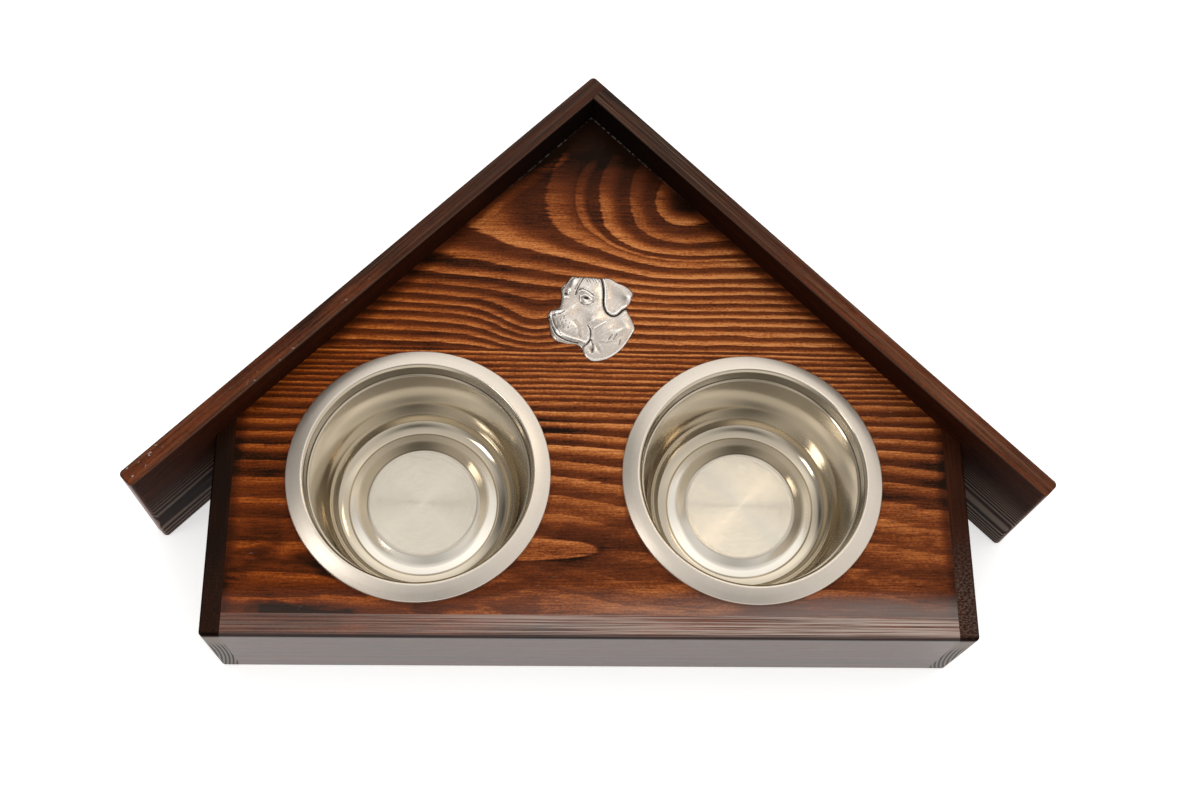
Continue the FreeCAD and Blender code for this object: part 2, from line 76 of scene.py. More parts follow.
# shader maths: a wire is one socket, and an expression on wires adds its nodes
class Wire:
    def __init__(self, tree, socket=None):
        self.tree = tree
        self.socket = socket

    def node(self, kind, settings=None, inputs=None, output=0):
        made = self.tree.nodes.new(kind)
        for name, value in (settings or {}).items():
            if name == "stops":
                stops = made.color_ramp.elements
                while len(stops) < len(value):
                    stops.new(0.5)
                for stop, (position, colour) in zip(stops, value):
                    stop.position = position
                    stop.color = (*colour, 1)
            elif name == "points":
                line = made.mapping.curves[0].points
                while len(line) < len(value):
                    line.new(0.5, 0.5)
                for point, spot in zip(line, value):
                    point.location = spot
                    point.handle_type = "VECTOR"
                made.mapping.update()
            else:
                setattr(made, name, value)
        for name, value in (inputs or {}).items():
            if isinstance(value, Wire):
                self.tree.links.new(value.socket, made.inputs[name])
            else:
                made.inputs[name].default_value = value
        return Wire(self.tree, made.outputs[output])

    def math(self, operation, *values):
        return self.node("ShaderNodeMath", {"operation": operation}, dict(enumerate(values)))

    def __add__(self, other):
        return self.math("ADD", self, other)

    def __radd__(self, other):
        return self.math("ADD", other, self)

    def __sub__(self, other):
        return self.math("SUBTRACT", self, other)

    def __rsub__(self, other):
        return self.math("SUBTRACT", other, self)

    def __mul__(self, other):
        return self.math("MULTIPLY", self, other)

    def __rmul__(self, other):
        return self.math("MULTIPLY", other, self)

    def __truediv__(self, other):
        return self.math("DIVIDE", self, other)

    def atLeast(self, low):
        return self.math("MAXIMUM", self, low)

    def atMost(self, high):
        return self.math("MINIMUM", self, high)

    def size(self):
        return self.math("ABSOLUTE", self)

    def squared(self):
        return self * self

    def root(self):
        return self.math("SQRT", self)

    def whole(self):
        return self.math("FLOOR", self)

    def part(self):
        return self.math("FRACT", self)

    def bell(self):
        return self.math("EXPONENT", self * -0.5)

    def rise(self, low, high):
        # 0 up to low, then softly to 1 at high
        ends = {"Value": self, "From Min": low, "From Max": high}
        return self.node("ShaderNodeMapRange", {"interpolation_type": "SMOOTHSTEP"}, ends)

    def fall(self, low, high):
        return 1 - self.rise(low, high)

    def between(self, start, full, fade, gone):
        return self.rise(start, full) * self.fall(fade, gone)

    def readOff(self, points):
        # reads a value off a line through points, flat beyond its ends
        low = points[0][0]
        high = points[-1][0]
        top = max(p[1] for p in points)
        spots = [((x - low) / (high - low), y / top) for x, y in points]
        share = ((self - low) / (high - low)).atLeast(0.0).atMost(1.0)
        return top * self.node("ShaderNodeFloatCurve", {"points": spots}, {"Value": share})

    def axes(self):
        return [self.node("ShaderNodeSeparateXYZ", None, {"Vector": self}, i) for i in range(3)]

    def noise(self, ways, scales, detail=2.0, rough=0.5):
        # three directions, each with its own scale, so that grain can be drawn out
        scaled = {axis: way * scale for axis, way, scale in zip("XYZ", ways, scales)}
        spot = self.node("ShaderNodeCombineXYZ", None, scaled)
        inputs = {"Vector": spot, "Scale": 1.0, "Detail": detail, "Roughness": rough}
        return self.node("ShaderNodeTexNoise", None, inputs, "Fac")

    def ramp(self, stops):
        return self.node("ShaderNodeValToRGB", {"stops": stops}, {"Fac": self}, "Color")

    def bump(self, strength, depth):
        inputs = {"Strength": strength, "Distance": depth, "Height": self}
        return self.node("ShaderNodeBump", None, inputs, "Normal")

    def mix(self, factor, first, second, blend="MIX"):
        settings = {"data_type": "RGBA", "blend_type": blend}
        first, second = [c if isinstance(c, Wire) else (*c, 1) for c in (first, second)]
        return self.node("ShaderNodeMix", settings, {0: factor, 6: first, 7: second}, 2)

    def multiply(self, factor, first, second):
        return self.mix(factor, first, second, "MULTIPLY")


def offCentre(x, y, middle, reach):
    # squared distance from a middle, counted in reaches
    return ((x - middle[0]) / reach[0]).squared() + ((y - middle[1]) / reach[1]).squared()


def newLook(name):
    # a material with its shader, and a wire of the object's own coordinates
    material = bpy.data.materials.new(name)
    material.use_nodes = True
    shader = material.node_tree.nodes["Principled BSDF"]
    place = Wire(material.node_tree).node("ShaderNodeTexCoord", output="Object")
    return material, shader, place


def plug(shader, **values):
    for name, value in values.items():
        socket = shader.inputs[name.replace("_", " ")]
        if isinstance(value, Wire):
            shader.id_data.links.new(value.socket, socket)
        else:
            socket.default_value = value


def dress(name, material):
    nodes[name].data.materials.clear()
    nodes[name].data.materials.append(material)


# stage: white floor, a room to reflect and two soft boxes
floorValues = {
    "size": 8,
    "drop": 0.0004,  # keeps the floor clear of the boards' undersides
    "white": 0.86,
    "fibreShade": 0.98,
    "fibre": 40,
    "glow": 0.55,  # lifts what is seen of the floor to white, the shadow stays
}
roomValues = {
    "dome": 1.0,
    "ceilingShade": 0.1,
    "tint": (1.0, 0.985, 0.96),
    "dark": 0.8,
    "leftDark": 0.6,
    "leftReach": (0.25, 0.7),
    "windowGlow": 0.35,
    "lampGlow": 0.7,
    # middle and reach of each patch, across and away, as seen from the stand
    "darkBehind": ((0.05, -0.55), (0.24, 0.20)),
    "darkCorner": ((-0.52, 0.36), (0.16, 0.14)),
    "window": ((0.0, 0.85), (0.45, 0.22)),
    "nearLamp": ((0.0, 0.12), (0.30, 0.07)),
    "farLamp": ((0.0, 0.56), (0.30, 0.08)),
    # heights between which each sets in
    "behindHeight": (0.3, 0.6),
    "cornerHeight": (0.45, 0.65),
    "windowHeight": (0.2, 0.4),
    "lampHeight": (0.5, 0.7),
    "ceilingHeight": (0.1, 0.9),
}
softBoxes = {
    "keyLight": {
        "place": (-0.98, -0.38, 1.20), "size": (0.35, 0.50), "power": 2.6, "colour": (1, 0.96, 0.90)},
    "warmLight": {
        "place": (0.60, 0.62, 1.35), "size": (0.26, 0.26), "power": 0.9, "colour": (1, 0.78, 0.50)},
}
lightAim = Vector((0, 0, 0.05))


def buildFloor():
    bpy.ops.object.select_all(action="DESELECT")
    bpy.ops.mesh.primitive_plane_add(size=floorValues["size"], location=(0, 0, -floorValues["drop"]))
    floor = bpy.context.object
    floor.name = "floor"
    material, shader, place = newLook("floorPaper")
    fibre = place.noise(place.axes(), [floorValues["fibre"]] * 3, 3)
    white = floorValues["white"]
    paper = place.mix(fibre, [white] * 3, [white * floorValues["fibreShade"]] * 3)
    plug(shader, Base_Color=paper, Roughness=0.9, Specular_IOR_Level=0.0)
    rayKinds = ("Is Camera Ray", "Is Glossy Ray", "Is Transmission Ray")
    seen = sum(place.node("ShaderNodeLightPath", output=kind) for kind in rayKinds).atMost(1.0)
    glow = place.node("ShaderNodeEmission", None, {"Strength": seen * floorValues["glow"]})
    both = place.node("ShaderNodeAddShader", None, {0: glow, 1: Wire(place.tree, shader.outputs[0])})
    output = material.node_tree.nodes["Material Output"]
    material.node_tree.links.new(both.socket, output.inputs["Surface"])
    floor.data.materials.append(material)


def buildRoom():
    world = bpy.data.worlds.new("studio")
    bpy.context.scene.world = world
    world.use_nodes = True
    sky = Wire(world.node_tree)
    x, y, z = sky.node("ShaderNodeTexCoord", output="Generated").axes()
    window = offCentre(x, y, *roomValues["window"]).bell() * z.rise(*roomValues["windowHeight"])
    lamps = offCentre(x, y, *roomValues["nearLamp"]).atMost(offCentre(x, y, *roomValues["farLamp"]))
    lamps = lamps.bell() * z.rise(*roomValues["lampHeight"])
    behind = offCentre(x, y, *roomValues["darkBehind"]).bell() * z.rise(*roomValues["behindHeight"])
    corner = offCentre(x, y, *roomValues["darkCorner"]).bell() * z.rise(*roomValues["cornerHeight"])
    ceiling = z.rise(*roomValues["ceilingHeight"])
    shade = roomValues["dome"] * (1.0 - roomValues["ceilingShade"] * ceiling)
    shade = shade + roomValues["windowGlow"] * window + roomValues["lampGlow"] * lamps
    shade = shade * (1 - roomValues["dark"] * (behind + corner).atMost(1.0))
    shade = shade * (1 - roomValues["leftDark"] * (0 - x).rise(*roomValues["leftReach"]))
    # plain white where the camera looks past the floor
    ray = sky.node("ShaderNodeLightPath", output="Is Camera Ray")
    back = world.node_tree.nodes["Background"]
    world.node_tree.links.new((ray + (1 - ray) * shade).socket, back.inputs["Strength"])
    world.node_tree.links.new(sky.mix(ray, roomValues["tint"], (1, 1, 1)).socket, back.inputs["Color"])


def buildSoftBox(name, values):
    bpy.ops.object.light_add(type="AREA", location=values["place"])
    lamp = bpy.context.object
    lamp.name = name
    lamp.rotation_euler = (lightAim - Vector(values["place"])).to_track_quat("-Z", "Y").to_euler()
    lamp.data.shape = "RECTANGLE"
    lamp.data.size, lamp.data.size_y = values["size"]
    lamp.data.energy = values["power"]
    lamp.data.color = values["colour"]


buildFloor()
buildRoom()
for name, values in softBoxes.items():
    buildSoftBox(name, values)
print("stage ready")


# stained pine: rings counted by each board's own figure, coloured by one finish
stain = {
    # from the burnt line to the bare wood
    "tones": [
        (0.0, (0.014, 0.006, 0.003)),
        (0.13, (0.074, 0.0185, 0.0068)),
        (0.36, (0.172, 0.041, 0.0115)),
        (0.68, (0.43, 0.128, 0.033)),
        (1.0, (0.70, 0.27, 0.085)),
    ],
    "dashTone": (0.30, 0.22, 0.20),
    "dashDepth": 0.65,
    "roughness": 0.30,
    "specular": 0.03,
    "bump": (0.22, 0.0006),
    # noises: scale along the grain, across it and into the board, then detail and roughness
    "streak": ((13, 430, 430), 4, 0.65),
    "fine": ((75, 950, 950), 3, 0.65),
    "wide": ((7, 24, 24), 3, 0.55),
    "fleck": ((480, 900, 900), 3, 0.7),
    "patch": ((11, 60, 60), 4, 0.6),
    "dash": ((75, 1500, 1500), 1, 0.4),
    # between which values of its noise a mark sets in
    "burntFrom": (0.50, 0.80),
    "patchFrom": (0.36, 0.70),
    "dashFrom": (0.62, 0.74),
    # each ring is light right behind its line and darkens towards the next
    "ringLight": (0.0, 0.07, 0.16, 0.74),
    "ringContrast": 0.62,
    "lowestLight": 0.23,
    "streakWaver": 0.20,
    "fineWaver": 0.14,
    "grainContrast": (0.9, 1.1, 1.1),  # of streak, fine and fleck
}


def stainedPine(shader, place, ring, ways, tone, burn, bare=None, calm=None):
    streak = place.noise(ways, *stain["streak"])
    fine = place.noise(ways, *stain["fine"])
    wide = place.noise(ways, *stain["wide"])
    fleck = place.noise(ways, *stain["fleck"])
    turn = ring + (streak - 0.5) * stain["streakWaver"] + (fine - 0.5) * stain["fineWaver"]
    # no two rings are equally light
    band = place.node("ShaderNodeTexWhiteNoise", {"noise_dimensions": "1D"}, {"W": turn.whole()}, "Value")
    light = turn.part().between(*stain["ringLight"]) * (0.75 + 0.45 * band)
    if calm is not None:
        # where the board is nearly flat sawn the rings spread into patches
        patch = place.noise(ways, *stain["patch"]).rise(*stain["patchFrom"])
        light = light * (1 - calm) + (patch * 0.75 + 0.12) * calm
    if bare is not None:
        light = light.atLeast(bare)
    marks = zip((streak, fine, fleck), stain["grainContrast"])
    grain = sum((mark - 0.5) * contrast for mark, contrast in marks)
    light = stain["lowestLight"] + stain["ringContrast"] * light + (0.5 + 0.6 * light) * grain
    light = (light * tone - burn * wide.rise(*stain["burntFrom"])).atLeast(0.0)
    dash = place.noise(ways, *stain["dash"]).rise(*stain["dashFrom"])
    colour = place.multiply(dash * stain["dashDepth"], light.ramp(stain["tones"]), stain["dashTone"])
    roughness = stain["roughness"] + 0.14 * (fine - 0.3) + 0.05 * dash
    height = light * 0.35 + fine * 0.35 + streak * 0.3
    plug(shader, Base_Color=colour, Roughness=roughness, Specular_IOR_Level=stain["specular"])
    plug(shader, Normal=height.bump(*stain["bump"]))
    return colour


# rear board of the panel: arches round a knot at the upper right; mm from the middle and from the front face
rearFigure = {
    # rings counted from the knot towards the front and the ridge
    "down": [
        (182, 14), (188, 13), (194.5, 12), (201, 11), (207, 10), (212, 9), (217, 8), (223, 7), (228.5, 6),
        (234.5, 5), (242, 4), (251, 3), (260, 2), (272, 1), (290, 0), (300, 0.5), (312, 1.0), (330, 1.8)],
    # rings counted from the knot to the left and the right
    "aside": [
        (-150, 5.6), (-102, 5.1), (-62, 4.6), (-31, 4), (4, 3), (24, 2), (41, 1), (60, 0), (80, 0.8),
        (130, 1.5)],
    "secondLine": (3.2, 3.34, 3.41, 3.47),  # a light line within a ring
    "wander": ((16, 40, 8), 3, 0.5),
    "dip": (-38, 198),
    "dipReach": (20, 15),
    "dipDepth": 14,
    "knot": (60, 290),
    "knotReach": (9, 7),
    "knotDark": 0.8,
    # stretches over which the colour changes, along the roof boards partly by stain and partly by painted
    # shade
    "edgeStainAndShade": (0.5, 10.0),  # from the roof boards
    "ridgeDark": (258, 336),
    "ridgeRight": (20, 60),
    "ridgeRightSooner": 18,
    "leftDark": (-150, 50),
    "archLight": (228, 262),
    "archLightRight": (-20, 50),
    "thinLine": 6,  # from the left roof board
    "thinWidth": 3.5,
    "thinStretch": (252, 272, 316, 328),
    "leftTint": (1.0, 0.82, 0.42),
    "leftTintFade": (-160, -40),
    # dust in the seam near the ridge
    "dustTone": (0.35, 0.32, 0.28),
    "dustWidth": (0.1, 1.1),
    "dustStretch": (284.4, 339.4),
    "speck": ((420, 420, 420), 3, 0.7),
    "speckFrom": (0.47, 0.60),
}


def rearPanelLook(figure):
    material, shader, place = newLook("rearPanelPine")
    ways = place.axes()
    x, y, z = ways
    wander = place.noise(ways, *figure["wander"]) - 0.5
    fromMiddle = x * 1000
    fromFront = (y - frontFace) * 1000
    across = fromMiddle + wander * 5
    up = fromFront + wander * 2.4
    dip = offCentre(across, up, figure["dip"], figure["dipReach"]).bell()
    down = (up + dip * figure["dipDepth"]).readOff(figure["down"])
    aside = across.readOff(figure["aside"])
    ring = (down.squared() + aside.squared()).root()
    # mm from each roof board
    left = ((apexInside - y) + x) * (1000 / math.sqrt(2))
    right = ((apexInside - y) - x) * (1000 / math.sqrt(2))
    edge = left.atMost(right)
    # darker along the roof boards, partly stain and partly painted shade where they meet the panel; darker
    # towards the ridge; the stain is darker on the left and in the knot
    tone = 0.35 + 0.65 * (edge + wander * 8).rise(*figure["edgeStainAndShade"])
    toRidge = up + wander * 24 - figure["ridgeRightSooner"] * fromMiddle.rise(*figure["ridgeRight"])
    tone = tone * (1 - 0.98 * toRidge.rise(*figure["ridgeDark"]))
    tone = tone * (0.84 + 0.16 * fromMiddle.rise(*figure["leftDark"]))
    arches = up.fall(*figure["archLight"]) * fromMiddle.rise(*figure["archLightRight"])
    tone = tone * (0.90 + 0.22 * arches)
    knot = offCentre(across, up, figure["knot"], figure["knotReach"]).bell()
    tone = tone * (1 - figure["knotDark"] * knot)
    # and thin along the left roof board below the ridge
    thin = ((left - figure["thinLine"] + wander * 8) / figure["thinWidth"]).squared().bell()
    tone = tone.atLeast(thin * up.between(*figure["thinStretch"]) * 0.8)
    second = ring.between(*figure["secondLine"])
    colour = stainedPine(shader, place, 20 - ring, ways, tone, 0.22, second * 0.85)
    colour = place.multiply(0.8 * fromMiddle.fall(*figure["leftTintFade"]), colour, figure["leftTint"])
    speck = place.noise(ways, *figure["speck"]).rise(*figure["speckFrom"])
    dust = edge.fall(*figure["dustWidth"]) * fromFront.rise(*figure["dustStretch"]) * speck
    plug(shader, Base_Color=place.mix(dust * 0.5, colour, figure["dustTone"]))
    dress("panel_rear_board", material)


# front board of the panel: close lines at the back, wide figure and an island between the bowls; all in mm
frontFigure = {
    # lines of the rings, from the front face
    "lines": [
        14, 25, 40, 58, 72, 85, 98, 109, 119, 127, 135, 142, 149, 153, 156.5, 160, 164, 168, 171, 175, 179,
        182, 186],
    "wander": ((12, 40, 8), 3, 0.5),
    "wanderFront": (30, 120),
    "droop": 6,
    "droopLength": 190,
    "droopLeft": (-70, -30),
    "droopBack": (70, 150),
    "island": (-38, 54),
    "islandReach": (43, 7.5),
    "islandEdge": (0.82, 1.0),
    "islandHeart": (0.05, 0.6),
    "haloReach": (58, 18.75),
    # stretches over which the colour changes, along the side boards partly by stain and partly by painted
    # shade
    "sideStainAndShade": (0.4, 8.0),  # from the side boards
    "leftDark": (-200, -80),
    "rightDark": (120, 210),
    "cornerLeft": (-170, -30),
    "cornerFront": (35, 75),
    "blot": ((20, 52, 20), 3, 0.6),
    "blotFrom": (0.50, 0.62),
    "blotFront": (62, 95),
    "calmFront": (62, 118),
    "leftTint": (1.0, 0.80, 0.40),
    "leftTintFade": (-170, -20),
    # painted glints in grey flecks where open grain catches the light, and a painted sheen of reflected
    # light along the front
    "paintedReflectionTone": (0.26, 0.215, 0.20),
    "fleck": ((190, 1300, 900), 2, 0.5),
    "glintFrom": (0.66, 0.74),
    "group": ((30, 42, 40), 2, 0.5),
    "groupFrom": (0.50, 0.62),
    "glintBack": (70, 110),
    "glintRight": (100, 150),
    "paintedSheenLines": ((25, 900, 900), 3, 0.5),
    "paintedSheenFront": (15, 33),
    "paintedSheenRight": (-80, 120),
}


def frontPanelLook(figure):
    material, shader, place = newLook("frontPanelPine")
    ways = place.axes()
    x, y, z = ways
    wander = place.noise(ways, *figure["wander"]) - 0.5
    across = x * 1000
    up = (y - frontFace) * 1000
    wave = place.math("SINE", across * (2 * math.pi / figure["droopLength"]))
    wave = wave * across.rise(*figure["droopLeft"]) * up.fall(*figure["droopBack"])
    level = up + wave * figure["droop"] + wander * (3 + 9 * up.fall(*figure["wanderFront"]))
    ring = level.readOff([(line, count) for count, line in enumerate(figure["lines"])])
    # the island is bare wood in a dark halo
    wavy = up + wander * 5
    inIsland = offCentre(across, wavy, figure["island"], figure["islandReach"])
    island = inIsland.fall(*figure["islandEdge"])
    bare = island * (0.42 + 0.30 * inIsland.rise(*figure["islandHeart"]))
    halo = offCentre(across, wavy, figure["island"], figure["haloReach"]).bell() * (1 - island)
    # darker along the side boards, partly stain and partly painted shade where they meet the panel; the
    # stain is darker on the left, on the far right and in blots at the front
    side = (panelHalf - x.size()) * 1000
    tone = 0.35 + 0.65 * (side + wander * 10).rise(*figure["sideStainAndShade"])
    tone = tone * (0.66 + 0.34 * across.rise(*figure["leftDark"]))
    tone = tone * (1 - 0.22 * across.rise(*figure["rightDark"]))
    tone = tone * (1 - 0.5 * halo)
    corner = across.fall(*figure["cornerLeft"]) * up.fall(*figure["cornerFront"])
    blots = place.noise(ways, *figure["blot"]).rise(*figure["blotFrom"]) * (0.35 + 0.6 * corner)
    tone = tone * (1 - blots * up.fall(*figure["blotFront"]) * (1 - island))
    calm = 0.62 * up.fall(*figure["calmFront"]) * (1 - 0.6 * corner)
    burn = 0.42 + 0.65 * corner
    colour = stainedPine(shader, place, 40 - ring, ways, tone, burn, bare, calm)
    colour = place.multiply(0.9 * across.fall(*figure["leftTintFade"]), colour, figure["leftTint"])
    # painted glints and painted sheen, mixed into the colour as grey
    fleck = place.noise(ways, *figure["fleck"]).rise(*figure["glintFrom"])
    fleck = fleck * place.noise(ways, *figure["group"]).rise(*figure["groupFrom"])
    fleck = fleck * (1 - up.rise(*figure["glintBack"]) * across.fall(*figure["glintRight"]))
    paintedSheen = (up + wander * 16).fall(*figure["paintedSheenFront"])
    paintedSheen = paintedSheen * (0.12 + 0.63 * across.rise(*figure["paintedSheenRight"]))
    paintedSheen = paintedSheen * (0.55 + 0.6 * place.noise(ways, *figure["paintedSheenLines"]))
    plug(shader, Base_Color=place.mix((fleck * 0.55).atLeast(paintedSheen), colour, figure["paintedReflectionTone"]))
    dress("panel_front_board", material)


# boards on edge: rings round a heart line that runs along each board, in metres
edgeFinish = {
    "wander": ((6, 40, 18), 2, 0.5),
    "waver": 0.0016,
    # how far a face looks up or to the front
    "top": (0.75, 0.95),
    "arris": (0.15, 0.4, 0.80, 0.97),
    "outward": (0.7, 0.9),
    "calm": 0.75,
    "arrisTone": (0.08, 0.03, 0.03),
    "arrisDepth": 0.85,
    # a dark line where the finish wore off along the front corner
    "cornerFront": (0.0016, 0.0030),
    "cornerTop": (-0.0036, -0.0022),
}


class EdgeBoard:
    def __init__(self, name, values):
        self.material, self.shader, self.place = newLook(name + "Pine")
        self.x, self.y, self.z = self.place.axes()
        self.cosine = math.cos(math.radians(values["turn"]))
        self.sine = math.sin(math.radians(values["turn"]))
        along = self.x * self.cosine + self.y * self.sine
        across = self.y * self.cosine - self.x * self.sine
        self.ways = (along, across, self.z)
        self.wander = self.place.noise(self.ways, *edgeFinish["wander"]) - 0.5
        fromHeart = offCentre(across, self.z, values["heart"], (1, 1)).root()
        self.turns = (fromHeart + self.wander * edgeFinish["waver"]) / values["gap"]
        self.facing = self.place.node("ShaderNodeNewGeometry", output="Normal").axes()
        self.top = self.facing[2].rise(*edgeFinish["top"])
        self.arris = self.facing[2].between(*edgeFinish["arris"])
        self.outward = (0 - self.facing[1]).rise(*edgeFinish["outward"])

    def stained(self, tone, burn):
        calm = self.top * edgeFinish["calm"]
        return stainedPine(self.shader, self.place, self.turns, self.ways, tone, burn, None, calm)

    def frontCorner(self):
        line = (self.y - frontFace).fall(*edgeFinish["cornerFront"])
        line = line * (self.z - panelTop).rise(*edgeFinish["cornerTop"])
        self.arris = self.arris.atLeast(line)

    def finish(self, name, colour, gloss):
        dark = self.arris * edgeFinish["arrisDepth"]
        colour = self.place.multiply(dark, colour, edgeFinish["arrisTone"])
        plug(self.shader, Base_Color=colour, Specular_IOR_Level=gloss)
        dress(name, self.material)


frontBoard = {
    "turn": 0,
    "heart": (frontFace + 0.06, 0.02),
    "gap": 0.0016,
    "tone": 0.5,
    "burn": 0.25,
    "gloss": 0.44,
    "faceTone": (0.040, 0.022, 0.016),
    # the top edge is painted pale in fine lines, a painted sheen of reflected light
    "paintedHighlightTone": (0.55, 0.44, 0.385),
    "paintedHighlight": ((8, 1500, 1500), 3, 0.65),
    "paintedHighlightFrom": (0.40, 0.62),
    "paintedHighlightTop": (0.9, 0.98),
    "paintedHighlightRight": (-0.2, 0.08),
}


def frontBoardLook(values):
    board = EdgeBoard("front_board", values)
    place = board.place
    colour = board.stained(values["tone"], values["burn"])
    # painted sheen: pale fine lines on the top edge
    paintedHighlight = place.noise(board.ways, *values["paintedHighlight"]).rise(*values["paintedHighlightFrom"])
    paintedHighlight = paintedHighlight * board.facing[2].rise(*values["paintedHighlightTop"])
    paintedHighlight = paintedHighlight * (0.15 + 0.75 * board.x.rise(*values["paintedHighlightRight"]))
    colour = place.mix(paintedHighlight, colour, values["paintedHighlightTone"])
    colour = place.mix(board.outward * 0.6, colour, values["faceTone"])
    board.frontCorner()
    board.finish("front_board", colour, values["gloss"])


sideBoards = {
    "left_side_board": {
        "turn": 90, "heart": (0.43, 0.045), "gap": 0.0023, "tone": 0.2, "burn": 0.2,
        "shade": 0.78, "worn": 0.04},
    "right_side_board": {
        "turn": 90, "heart": (-0.40, 0.055), "gap": 0.0026, "tone": 0.22, "burn": 0.2,
        "shade": 0.45, "worn": 0.5},
}
sideFinish = {
    "gloss": 0.03,
    "shadeTone": (0.011, 0.005, 0.003),
    # end grain, open and dark between the rings; the pale grey of the rings is partly the wood and partly a
    # painted sheen of grazing light
    "ringAndSheenTone": (0.225, 0.185, 0.16),
    "poreTone": (0.004, 0.003, 0.003),
    "pores": (0.1, 0.3, 0.55, 0.8),
    "poresTop": (0.05, 0.068),
    # small worn marks on top, near the front
    "wornTone": (0.17, 0.13, 0.11),
    "worn": ((900, 500, 500), 3, 0.7),
    "wornFrom": (0.40, 0.64),
    "wornFront": (0.02, 0.08),
}


def sideBoardLook(name, values):
    board = EdgeBoard(name, values)
    place = board.place
    colour = board.stained(values["tone"], values["burn"])
    pores = board.turns.part().between(*sideFinish["pores"])
    pores = pores * (board.z + board.wander * 0.02).fall(*sideFinish["poresTop"])
    # the pale grey end grain is partly a painted sheen
    endGrainAndSheen = place.mix(pores, sideFinish["ringAndSheenTone"], sideFinish["poreTone"])
    colour = place.mix(board.outward, colour, endGrainAndSheen)
    colour = place.mix(board.top * values["shade"], colour, sideFinish["shadeTone"])
    worn = place.noise(board.ways, *sideFinish["worn"]).rise(*sideFinish["wornFrom"])
    worn = worn * values["worn"] * (board.y - frontFace).fall(*sideFinish["wornFront"])
    colour = place.mix(board.top * worn, colour, sideFinish["wornTone"])
    board.frontCorner()
    board.finish(name, colour, sideFinish["gloss"])


roofBoards = {
    "left_roof_board": {
        "turn": 45, "heart": (0.17, 0.03), "gap": 0.0019, "tone": 0.42, "burn": 0.30,
        "worn": 0.35, "dentGlints": 0.8},
    "right_roof_board": {
        "turn": -45, "heart": (0.09, 0.03), "gap": 0.0019, "tone": 0.40, "burn": 0.30,
        "worn": 0.7, "dentGlints": 0.0},
}
roofFinish = {
    "gloss": 0.07,
    # from the eaves towards the ridge
    "eaveLight": (-0.10, 0.0),
    "nearRidge": (0.0, 0.14),
    "inRidge": (0.05, 0.16),
    # the faces that look down on the panel stay dark, most of all in the ridge
    "inside": (0.5, 0.9),
    "insideTone": (0.14, 0.10, 0.09),
    "ridgeTone": (0.003, 0.002, 0.0015),
    # their grain is raised where they hang free
    "raised": (0.05, 0.3, 0.45, 0.7),
    "raisedTop": (0.035, 0.075),
    "raisedTone": (0.24, 0.18, 0.14),
    # the top edges are smoked near the ridge and worn in streaks, and small dents near the left eave get
    # painted glints
    "smoke": ((16, 620, 620), 4, 0.7),
    "smokeFrom": (0.36, 0.62),
    "smokeTone": (0.032, 0.019, 0.014),
    "worn": ((9, 900, 900), 4, 0.7),
    "wornFrom": (0.46, 0.66),
    "wornTone": (0.16, 0.088, 0.052),
    "dentGlints": ((260, 420, 420), 2, 0.5),
    "dentGlintsFrom": (0.64, 0.70),
    "group": ((18, 60, 60), 2, 0.5),
    "groupFrom": (0.52, 0.60),
    "dentGlintsEave": (-0.01, 0.05),
    "dentGlintTone": (0.40, 0.36, 0.34),
    # the corner over the panel gets a painted highlight, the outer one dark
    "paintedHighlight": (0.2, 0.5),
    "paintedHighlightTone": (0.17, 0.10, 0.07),
    "outerCorner": (-0.2, 0.2),
}


def roofBoardLook(name, values):
    board = EdgeBoard(name, values)
    place = board.place
    y = board.y
    nearRidge = y.rise(*roofFinish["nearRidge"])
    tone = values["tone"] * (1.25 - 0.3 * y.rise(*roofFinish["eaveLight"]) - 0.3 * nearRidge)
    colour = board.stained(tone, values["burn"])
    inward = board.facing[0] * board.sine - board.facing[1] * board.cosine
    inside = inward.rise(*roofFinish["inside"])
    colour = place.multiply(inside * 0.85, colour, roofFinish["insideTone"])
    colour = place.mix(inside * y.rise(*roofFinish["inRidge"]) * 0.85, colour, roofFinish["ridgeTone"])
    raised = board.turns.part().between(*roofFinish["raised"])
    raised = raised * inside * (board.z + board.wander * 0.03).fall(*roofFinish["raisedTop"])
    colour = place.mix(raised * 0.85, colour, roofFinish["raisedTone"])
    plug(board.shader, Roughness=stain["roughness"] + 0.3 * inside - 0.1 * raised)
    smoke = place.noise(board.ways, *roofFinish["smoke"]).rise(*roofFinish["smokeFrom"])
    colour = place.mix(board.top * nearRidge * (0.3 + 0.6 * smoke), colour, roofFinish["smokeTone"])
    worn = place.noise(board.ways, *roofFinish["worn"]).rise(*roofFinish["wornFrom"])
    colour = place.mix(board.top * worn * values["worn"], colour, roofFinish["wornTone"])
    # painted glints on small dents near the left eave
    dentGlints = place.noise(board.ways, *roofFinish["dentGlints"]).rise(*roofFinish["dentGlintsFrom"])
    dentGlints = dentGlints * place.noise(board.ways, *roofFinish["group"]).rise(*roofFinish["groupFrom"])
    dentGlints = dentGlints * values["dentGlints"] * y.fall(*roofFinish["dentGlintsEave"])
    colour = place.mix(board.top * dentGlints, colour, roofFinish["dentGlintTone"])
    # painted highlight along the corner over the panel
    paintedHighlight = board.arris * inward.rise(*roofFinish["paintedHighlight"]) * 0.35
    colour = place.mix(paintedHighlight, colour, roofFinish["paintedHighlightTone"])
    board.arris = board.arris * inward.fall(*roofFinish["outerCorner"])
    board.finish(name, colour, roofFinish["gloss"])


